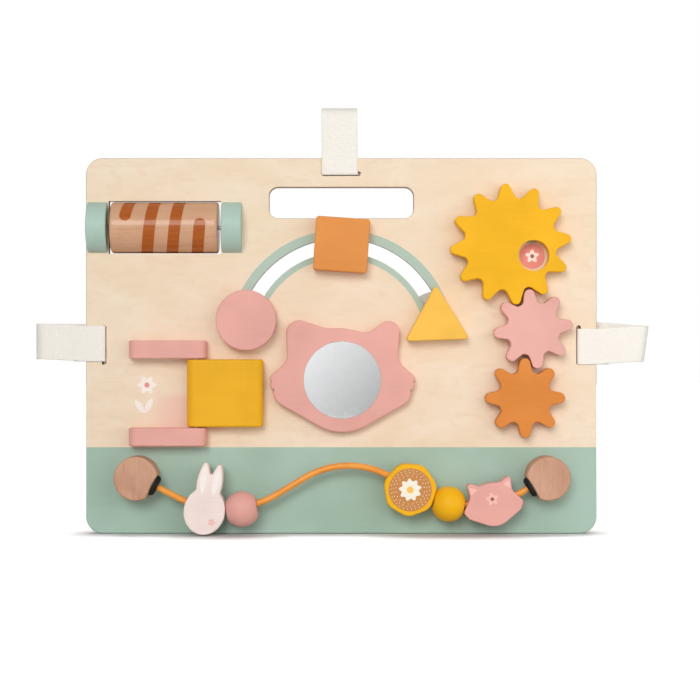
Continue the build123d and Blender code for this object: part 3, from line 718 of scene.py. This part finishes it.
def prints_under_flap():
    """A pale blossom over two leaves, on the board between the flap's rails."""
    at = facing_front(FLAP_PRINT_AT, FRONT_Y)
    decal("print_blossom", [blossom(7.5, 6, 0.18)], at, INK_WHITE, "root")
    decal("print_blossom_heart", [disc(2.0, count=24)], at, INK_ROSE, "root", base=PRINT_THICKNESS)
    leaves = [leaf(13.0, 4.6, centre=(-5.5, -17.0), lean=-38.0),
              leaf(13.0, 4.6, centre=(1.5, -16.0), lean=24.0)]
    decal("print_leaves", leaves, at, INK_WHITE, "root")


def prints_under_gear():
    """A ring of round motifs that the large gear's window passes over."""
    colours = [INK_ROSE, INK_MINT, INK_YELLOW]
    for index in range(GEAR_PRINTS):
        angle = radians(GEAR_PRINT_ANGLE + 360 / GEAR_PRINTS * index)
        x = LARGE_GEAR_CENTRE.x / MM + GEAR_PRINT_RING * cos(angle)
        z = LARGE_GEAR_CENTRE.z / MM + GEAR_PRINT_RING * sin(angle)
        at = facing_front((x, z), FRONT_Y)
        decal(f"print_gear_disc_{index + 1}", [disc(GEAR_PRINT_RADIUS)], at, colours[index % 3],
              "root")
        decal(f"print_gear_motif_{index + 1}", [blossom(5.4, 5, 0.2, turn=pi / 2)], at, INK_WHITE,
              "root", base=PRINT_THICKNESS)
        decal(f"print_gear_heart_{index + 1}", [disc(1.6, count=20)], at, INK_PLUM, "root",
              base=2 * PRINT_THICKNESS)


prints_under_flap()
prints_under_gear()


# ------------------------------------------------------------ prints on the beads
def on_bead(node, offset, turn):
    """The place function of a bead's front; its origin lies offset from the box's middle."""
    low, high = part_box(node)
    middle = (low + high) / (2 * MM)
    return facing_front((middle.x + offset[0], middle.z + offset[1]), low.y, turn)


def prints_on_rabbit():
    """Near-white inner ears and a small blossom on the long-eared bead."""
    at = on_bead("rabbit_bead", offset=(0.40, -7.50), turn=-10.5)
    ears = [leaf(22.0, 5.0, centre=(side * 4.9, 21.4), lean=side * 3.0) for side in (-1, 1)]
    decal("print_rabbit_ears", ears, at, INK_SHELL, "rabbit")
    blossoms = [blossom(3.0, 5, 0.2, centre=(7.0, -9.5))]
    decal("print_rabbit_blossom", blossoms, at, INK_PETAL, "rabbit")


def prints_on_flower():
    """An ochre field with rings of cream dots round a cream daisy."""
    at = on_bead("flower_bead", offset=(-0.19, 0.29), turn=-26.2)
    decal("print_flower_field", [disc(16.6, count=72)], at, INK_OCHRE, "flower")
    dots = []
    # (radius, number of dots, start as a share of their spacing)
    for radius, count, start in ((15.0, 30, 0.0), (13.0, 26, 0.5), (11.0, 20, 0.0)):
        for index in range(count):
            angle = 2 * pi * (index + start) / count
            dots.append(disc(0.36, (radius * cos(angle), radius * sin(angle)), 8))
    decal("print_flower_dots", dots, at, INK_CREAM, "flower", base=PRINT_THICKNESS)
    decal("print_flower_daisy", [blossom(8.8, 9, 0.12, count=108)], at, INK_CREAM, "flower",
          base=PRINT_THICKNESS)
    decal("print_flower_heart", [disc(2.6, count=32)], at, INK_YELLOW, "flower",
          base=2 * PRINT_THICKNESS)


def prints_on_cat():
    """Paler ear insides and a small blossom on the bead with pointed ears."""
    at = on_bead("cat_bead", offset=(-0.79, -0.55), turn=11.4)
    # the left ear's corners are taken backwards, so that it faces out too
    ears = [[(side * 15.6, 14.6), (side * 15.4, 8.4), (side * 10.0, 11.8)][::side]
            for side in (-1, 1)]
    decal("print_cat_ears", ears, at, INK_PETAL, "cat")
    middle = (0, 2.5)
    blossoms = [blossom(5.0, 5, 0.2, centre=middle, turn=pi / 2)]
    decal("print_cat_blossom", blossoms, at, INK_PETAL, "cat")
    decal("print_cat_heart", [disc(1.5, middle, 20)], at, INK_PLUM, "cat", base=PRINT_THICKNESS)


prints_on_rabbit()
prints_on_flower()
prints_on_cat()


# ------------------------------------------------------------ webbing loops
# lengths in mm, angles in degrees
STRAP_THICKNESS = 1.6
STRAP_WIDTH = 28.0
YARNS = 26
YARN_GROOVE = 0.26
SELVEDGE = 0.45
KNUCKLE_PITCH = 1.9
KNUCKLE_RISE = 0.13
KNUCKLE_STEPS = 4
# the path: its tail past the board's edge, its fold, its layers' distances from the board
STRAP_TAIL = 11.0
STRAP_REACH = 40.0
STRAP_LAY = 1.0
STRAP_BACK = 4.6
STRAP_BEND = 1.2
FOLD_SLACK = 0.1
STRAP_END = 3.0
STRAP_SLOT_LEAN = 0.5
# where the loop leans aside: from after the slot to before the fold, and its slant past it
LEAN_FROM = 8.0
LEAN_TO = 4.0
SLANT_PAST = 10.0
# a slow ripple, from past the board's edge on
RIPPLE = 0.5
RIPPLE_LENGTH = 22.0
RIPPLE_WIDTH = 30.0
RIPPLE_FROM = 1.0
RIPPLE_FULL = 12.0
BOARD_THICKNESS = (BACK_Y - FRONT_Y) / MM
# the hook and loop tapes behind the board
PAD_LENGTH = 17.0
PAD_WIDTH = 24.0
PAD_THICKNESS = 1.0
PAD_SETBACK = 6.0
PAD_GAP = 0.05
PAD_ROWS = 34
PAD_COLUMNS = 48
TUFT_RISE = 0.12


class RoundedPath:
    """Straight runs joined by tangent arcs, followed by the distance along it."""

    def __init__(self, corners, radii):
        corners = [Vector(c) for c in corners]
        self.spans = []
        self.length = 0.0
        start = corners[0]
        for before, corner, after, radius in zip(corners, corners[1:], corners[2:], radii):
            into, out = (corner - before).normalized(), (after - corner).normalized()
            turn = atan2(into.x * out.y - into.y * out.x, into.dot(out))
            trim = radius * tan(abs(turn) / 2)
            self.add(start, into, 0.0, (corner - into * trim - start).length)
            self.add(corner - into * trim, into, turn / (radius * abs(turn)), radius * abs(turn))
            start = corner + out * trim
        last = corners[-1] - start
        self.add(start, last.normalized(), 0.0, last.length)

    def add(self, start, heading, bend, length):
        self.spans.append((self.length, start, heading, bend))
        self.length += length

    def at(self, distance):
        """The point there and the heading."""
        first, start, heading, bend = [s for s in self.spans if s[0] <= max(distance, 0.0)][-1]
        run = distance - first
        if bend == 0.0:
            return start + heading * run, heading
        side = Vector((-heading.y, heading.x))
        turn = bend * run
        point = start + heading * (sin(turn) / bend) + side * ((1 - cos(turn)) / bend)
        return point, heading * cos(turn) + side * sin(turn)


def smooth(value, low, high):
    share = min(1.0, max(0.0, (value - low) / (high - low)))
    return share * share * (3 - 2 * share)


class Strap:
    """A webbing loop: out of its slot, along the play side, round a soft fold and back behind.

    outward points out of the board and aside along the slot, both from middle. edge is how far
    out the board's edge lies, and the slot's middle lies inset inside it. seat is how far aside
    the webbing lies in its slot, lean at the fold and drift at the back layer's end, where it
    starts to drift at the distance leave past the fold. slant is the angle of the fold line.
    """

    def __init__(self, name, outward, aside, middle, edge, inset, seat, lean, drift, leave, slant):
        self.name = name
        self.outward, self.aside, self.middle = Vector(outward), Vector(aside), Vector(middle)
        self.edge, self.slot, self.fold = edge, edge - inset - STRAP_SLOT_LEAN, edge + STRAP_REACH
        self.seat, self.lean, self.drift = seat, lean, drift
        self.leave, self.slant = leave, slant
        front = BOARD_THICKNESS + STRAP_LAY
        bend = (front + STRAP_BACK) / 2 - FOLD_SLACK
        far = self.fold - STRAP_THICKNESS / 2
        self.path = RoundedPath(
            [(edge + STRAP_TAIL, -STRAP_LAY), (self.slot, -STRAP_LAY), (self.slot, front),
             (far, front), (far, -STRAP_BACK), (self.slot - STRAP_END, -STRAP_BACK)],
            [STRAP_BEND, STRAP_BEND, bend, bend])
        self.out_at = edge + STRAP_TAIL - self.slot + front
        self.fold_at = self.out_at + self.fold - self.slot

    def point(self, along, across, lift):
        """A point of the webbing: along and across it, and out of its middle surface."""
        spot, heading = self.path.at(along)
        normal = Vector((-heading.y, heading.x))
        to_fold = smooth(along, self.out_at + LEAN_FROM, self.fold_at - LEAN_TO)
        past_fold = smooth(along, self.fold_at + self.leave, self.path.length)
        slanted = to_fold * (1 - smooth(along, self.fold_at + SLANT_PAST, self.path.length))
        shift = self.seat + (self.lean - self.seat) * to_fold + (self.drift - self.lean) * past_fold
        outer = spot.x + across * tan(radians(self.slant)) * slanted + normal.x * lift
        free = smooth(outer, self.edge + RIPPLE_FROM, self.edge + RIPPLE_FULL)
        # the name's length gives each strap a ripple of its own
        seed = Vector((along / RIPPLE_LENGTH, across / RIPPLE_WIDTH, len(self.name)))
        depth = spot.y + normal.y * lift + RIPPLE * free * noise.noise(seed)
        place = (self.middle + self.outward * outer + self.aside * (shift + across)) * MM
        return place + Vector((0, -depth * MM, 0))

    def webbing(self):
        """Both faces of the weave: lengthwise yarns, each ribbed where it passes over the weft."""
        columns = 2 * YARNS + 1
        rows = int(self.path.length / KNUCKLE_PITCH) * KNUCKLE_STEPS
        verts, faces = [], []
        for row in range(rows + 1):
            along = self.path.length * row / rows
            for face in (1, -1):
                for column in range(columns)[::face]:
                    across = (column / (columns - 1) - 0.5) * STRAP_WIDTH
                    rise = STRAP_THICKNESS / 2 - KNUCKLE_RISE
                    if column % 2 == 0:
                        rise -= YARN_GROOVE
                    else:
                        rise += KNUCKLE_RISE * cos(2 * pi * row / KNUCKLE_STEPS)
                    if column in (0, columns - 1):
                        rise *= SELVEDGE
                    verts.append(self.point(along, across, rise * face))
        around = 2 * columns
        for row in range(rows):
            for k in range(around):
                a, b = row * around + k, row * around + (k + 1) % around
                faces.append([a, b, b + around, a + around])
        for row, order in ((0, -1), (rows, 1)):
            first = row * around
            for k in range(columns - 1):
                cap = [first + k, first + k + 1, first + around - 2 - k, first + around - 1 - k]
                faces.append(cap[::order])
        piece = add_piece(f"{self.name}_webbing", verts, faces, MATERIALS["webbing"], "root")
        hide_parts(self.name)
        return piece


def tape(strap, kind, base):
    """One tape of the closure, tufted on both faces, with its near face at the depth base."""
    near, far = base + PAD_GAP, base + PAD_THICKNESS - PAD_GAP
    verts = []
    for depth, out in ((near, 1), (far, -1)):
        for i in range(PAD_ROWS + 1):
            for j in range(PAD_COLUMNS + 1):
                along = strap.slot + PAD_SETBACK + PAD_LENGTH * i / PAD_ROWS
                across = strap.seat + (j / PAD_COLUMNS - 0.5) * PAD_WIDTH
                rim = i in (0, PAD_ROWS) or j in (0, PAD_COLUMNS)
                tuft = 0.0 if rim else TUFT_RISE * ((i + j) % 2)
                spot = strap.middle + strap.outward * along + strap.aside * across
                verts.append((spot + Vector((0, depth + out * tuft, 0))) * MM)
    wide = PAD_COLUMNS + 1
    level = (PAD_ROWS + 1) * wide
    faces = grid_faces(PAD_ROWS, PAD_COLUMNS)
    faces += [face[::-1] for face in grid_faces(PAD_ROWS, PAD_COLUMNS, level)]
    rim = (list(range(wide)) + [i * wide + wide - 1 for i in range(1, PAD_ROWS + 1)]
           + [PAD_ROWS * wide + j for j in reversed(range(wide - 1))]
           + [i * wide for i in reversed(range(1, PAD_ROWS))])
    for a, b in zip(rim, rim[1:] + rim[:1]):
        faces.append([a, level + a, level + b, b])
    piece = add_piece(f"{strap.name}_{kind}_tape", verts, faces, MATERIALS[f"{kind}_tape"], "root",
                      smooth=False)
    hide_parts(f"{strap.name}_{kind}_pad")
    return piece


STRAPS = [
    Strap("strap_top", outward=(0, 0, 1), aside=(1, 0, 0), middle=(0, 0, 0),
          edge=BOARD_HIGH.z / MM, inset=12.3, seat=-1.2, lean=-1.5, drift=1.4, leave=40.0,
          slant=0.0),
    Strap("strap_left", outward=(-1, 0, 0), aside=(0, 0, 1), middle=(0, 0, 0.5),
          edge=BOARD_HIGH.x / MM, inset=14.3, seat=1.2, lean=2.9, drift=-1.4, leave=40.0,
          slant=0.5),
    Strap("strap_right", outward=(1, 0, 0), aside=(0, 0, 1), middle=(0, 0, 0.5),
          edge=BOARD_HIGH.x / MM, inset=14.3, seat=-1.2, lean=1.0, drift=5.0, leave=-6.0,
          slant=7.7),
]
for strap in STRAPS:
    webbing = strap.webbing()
    first = STRAP_LAY + STRAP_THICKNESS / 2
    pads = [tape(strap, "loop", first), tape(strap, "hook", first + PAD_THICKNESS)]


# ------------------------------------------------------------ last update of the scene
bpy.context.view_layer.update()
